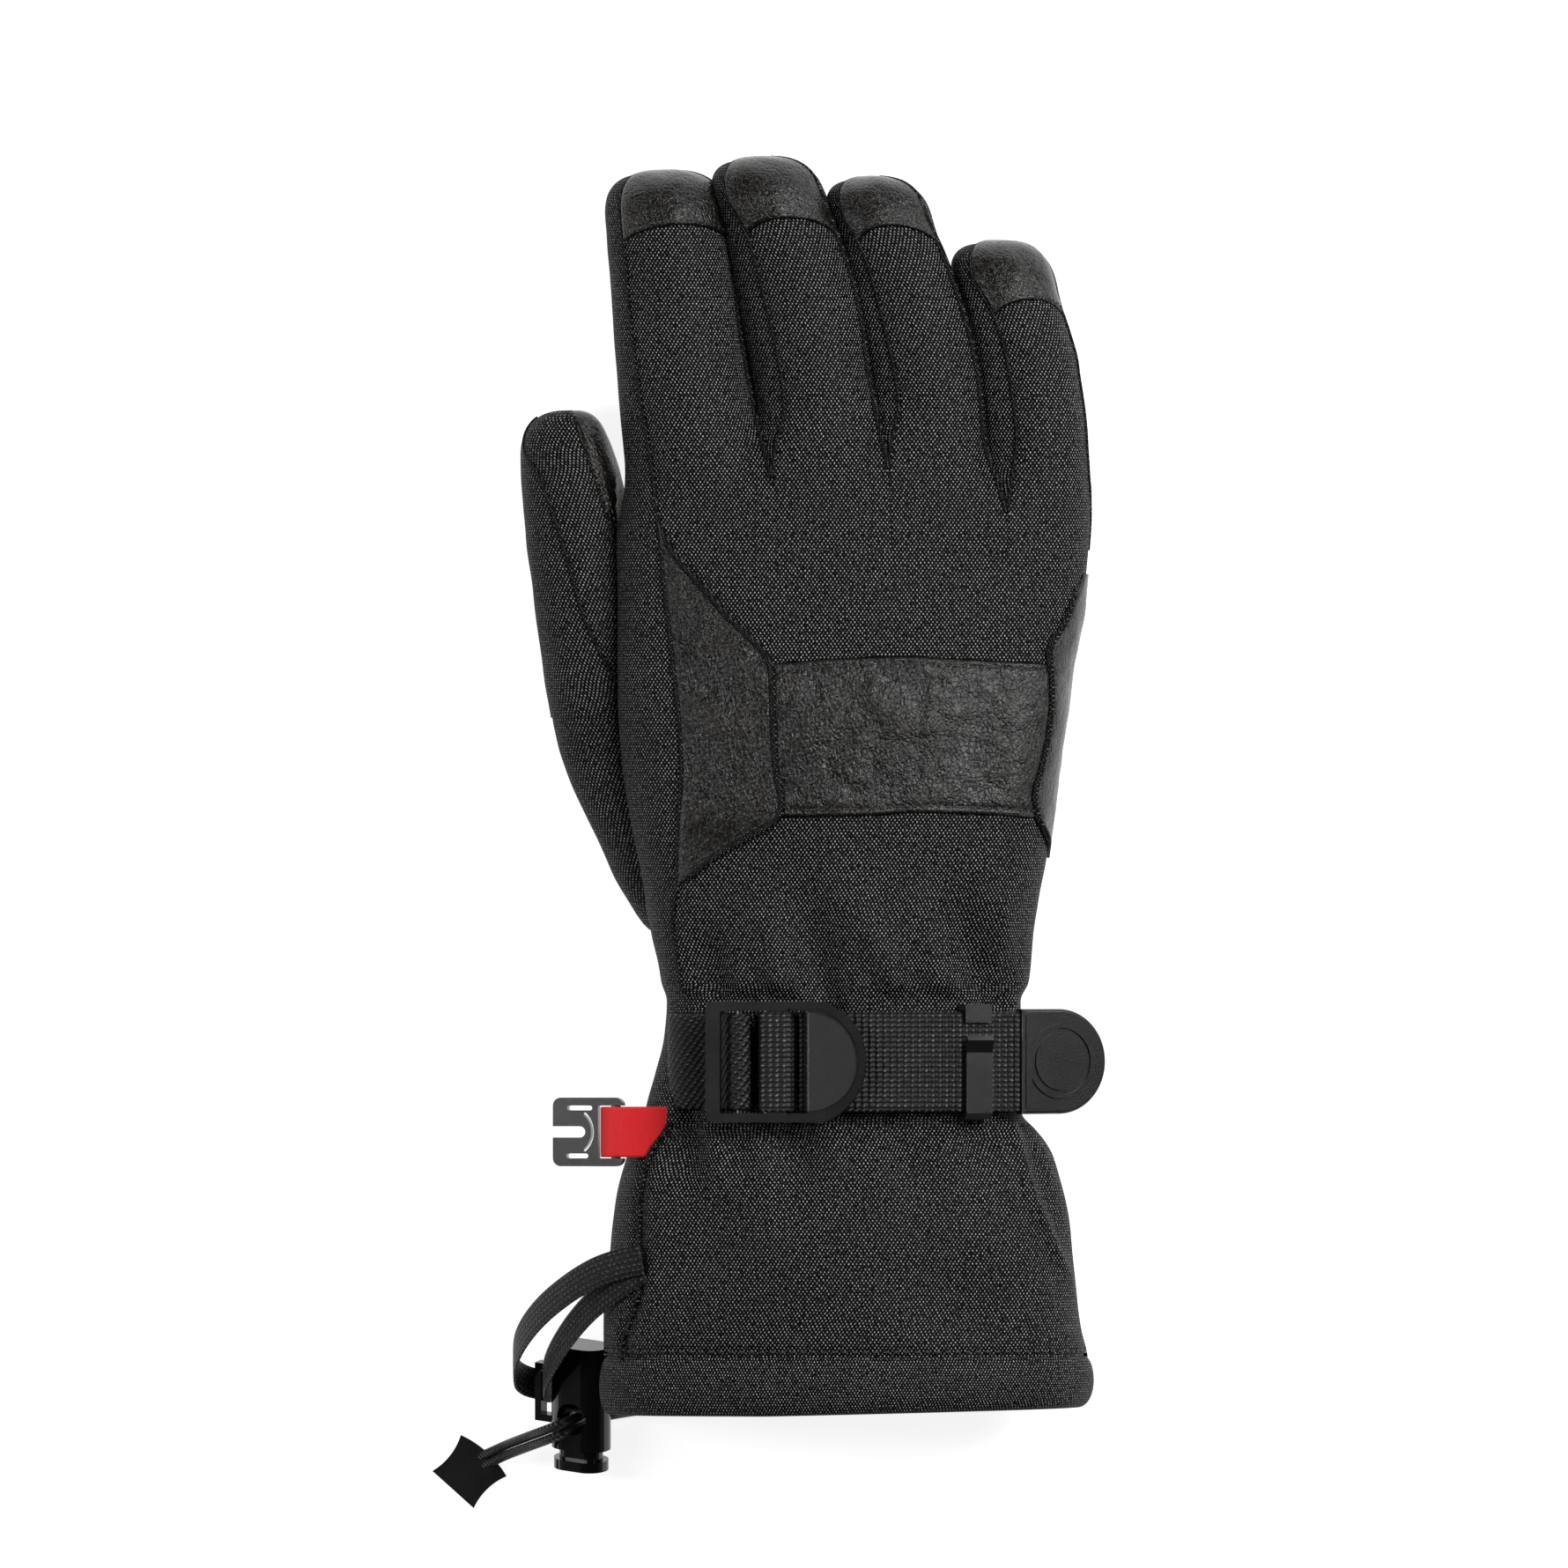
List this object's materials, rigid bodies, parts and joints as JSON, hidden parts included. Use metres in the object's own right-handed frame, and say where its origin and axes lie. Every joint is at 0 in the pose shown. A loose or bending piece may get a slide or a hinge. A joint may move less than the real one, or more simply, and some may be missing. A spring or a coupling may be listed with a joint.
{
  "type": "ski glove",
  "caption": "Insulated black ski glove for the right hand, with leather fingertips, a buckled wrist strap, a red ribbon with a hook and a drawcord lock.",
  "frame": {"origin": "middle of the glove's footprint on the table, without the cord lock and what hangs from it", "axes": "+Y from the cuff's mouth to the fingertips, +Z out of the back of the hand, thumb on -X"},
  "size_m": [0.1687, 0.339, 0.0646],
  "materials": {
    "softshell": "woven, matt",
    "leather": "fine grain",
    "lining": "brushed fleece",
    "insulation": "lofted fibre",
    "webbing": "ribbed webbing",
    "elastic": "twill elastic",
    "hardware": "moulded, satin",
    "toggle": "moulded, glossy",
    "grip": "moulded rubber",
    "ribbon": "satin ribbon",
    "spring": "drawn wire",
    "cord": "braided cord"
  },
  "bodies": {
    "glove": {"anchor_tape": "cord", "clip_ribbon": "ribbon", "cuff_back": "softshell", "cuff_lining": "lining", "cuff_palm": "softshell", "cuff_side_panel": "softshell", "drawcord_tails": "cord", "elastic_strap": "elastic", "finger_web": "softshell", "hand_back": "softshell", "hand_insulation": "insulation", "hand_lining": "lining", "hem_band": "softshell", "index_side_panel": "softshell", "knuckle_band": "leather", "knuckle_wing_inner": "leather", "knuckle_wing_outer": "leather", "lock_body": "toggle", "lock_spring": "spring", "palm_leather": "leather", "pull_tab": "grip", "thumb_gusset": "leather", "wrist_webbing": "webbing"},
    "index_finger": {"index_cap": "leather", "index_back": "softshell", "index_palm": "leather", "index_gussets": "softshell", "index_lining": "lining"},
    "middle_finger": {"middle_cap": "leather", "middle_back": "softshell", "middle_palm": "leather", "middle_gussets": "softshell", "middle_lining": "lining"},
    "ring_finger": {"ring_cap": "leather", "ring_back": "softshell", "ring_palm": "leather", "ring_gussets": "softshell", "ring_lining": "lining"},
    "little_finger": {"little_cap": "leather", "little_back": "softshell", "little_palm": "leather", "little_gussets": "softshell", "little_lining": "lining"},
    "thumb": {"thumb_back": "leather", "thumb_side": "softshell", "thumb_palm": "leather", "thumb_lining": "lining"},
    "buckle_swing": {"buckle": "hardware", "webbing_wrap": "webbing"},
    "tail": {"strap_tail": "webbing", "strap_end_tab": "grip"},
    "keeper": {"strap_keeper": "hardware"},
    "hook": {"glove_clip": "hardware"},
    "plunger": {"lock_button": "toggle"}
  },
  "joints": [
    {"name": "index_knuckle", "type": "hinge", "parent": "glove", "child": "index_finger", "pos_m": [-0.02897, 0.07241, 0.0039], "axis": [-0.9928, -0.1201, 0], "range_deg": [0, 40], "stiffness_Nm_per_rad": 0.5},
    {"name": "middle_knuckle", "type": "hinge", "parent": "glove", "child": "middle_finger", "pos_m": [0.00383, 0.07241, 0.00693], "axis": [-0.9857, -0.1685, 0], "range_deg": [0, 40], "stiffness_Nm_per_rad": 0.5},
    {"name": "ring_knuckle", "type": "hinge", "parent": "glove", "child": "ring_finger", "pos_m": [0.03083, 0.07241, 0.00859], "axis": [-0.9845, -0.1754, 0], "range_deg": [0, 40], "stiffness_Nm_per_rad": 0.5},
    {"name": "little_knuckle", "type": "hinge", "parent": "glove", "child": "little_finger", "pos_m": [0.05703, 0.07241, 0.00782], "axis": [-0.9914, -0.1305, 0], "range_deg": [0, 40], "stiffness_Nm_per_rad": 0.5},
    {"name": "thumb_root", "type": "hinge", "parent": "glove", "child": "thumb", "pos_m": [-0.06597, 0.02041, 0.0146], "axis": [0, 0, 1], "range_deg": [0, 25], "stiffness_Nm_per_rad": 0.5},
    {"name": "buckle_hinge", "type": "hinge", "parent": "glove", "child": "buckle_swing", "pos_m": [-0.01806, -0.06874, 0.05586], "axis": [0, -1, 0], "range_deg": [0, 7.5], "stiffness_Nm_per_rad": 0.05},
    {"name": "tail_pull", "type": "hinge", "parent": "glove", "child": "tail", "pos_m": [0.00808, -0.06874, -0.03536], "axis": [0, 1, 0], "range_deg": [0, 9]},
    {"name": "keeper_slide", "type": "hinge", "parent": "glove", "child": "keeper", "pos_m": [0.00808, -0.06874, -0.03536], "axis": [0, 1, 0], "range_deg": [-5, 0.4]},
    {"name": "hook_swing", "type": "hinge", "parent": "glove", "child": "hook", "pos_m": [-0.04897, -0.08634, 0.0446], "axis": [0, -1, 0], "range_deg": [-40, 60], "stiffness_Nm_per_rad": 0.01},
    {"name": "lock_press", "type": "slide", "parent": "glove", "child": "plunger", "axis": [0, 0.9703, 0.2419], "range_m": [0, 0.0024], "stiffness_N_per_m": 300, "deforming": ["lock_spring"]}
  ]
}
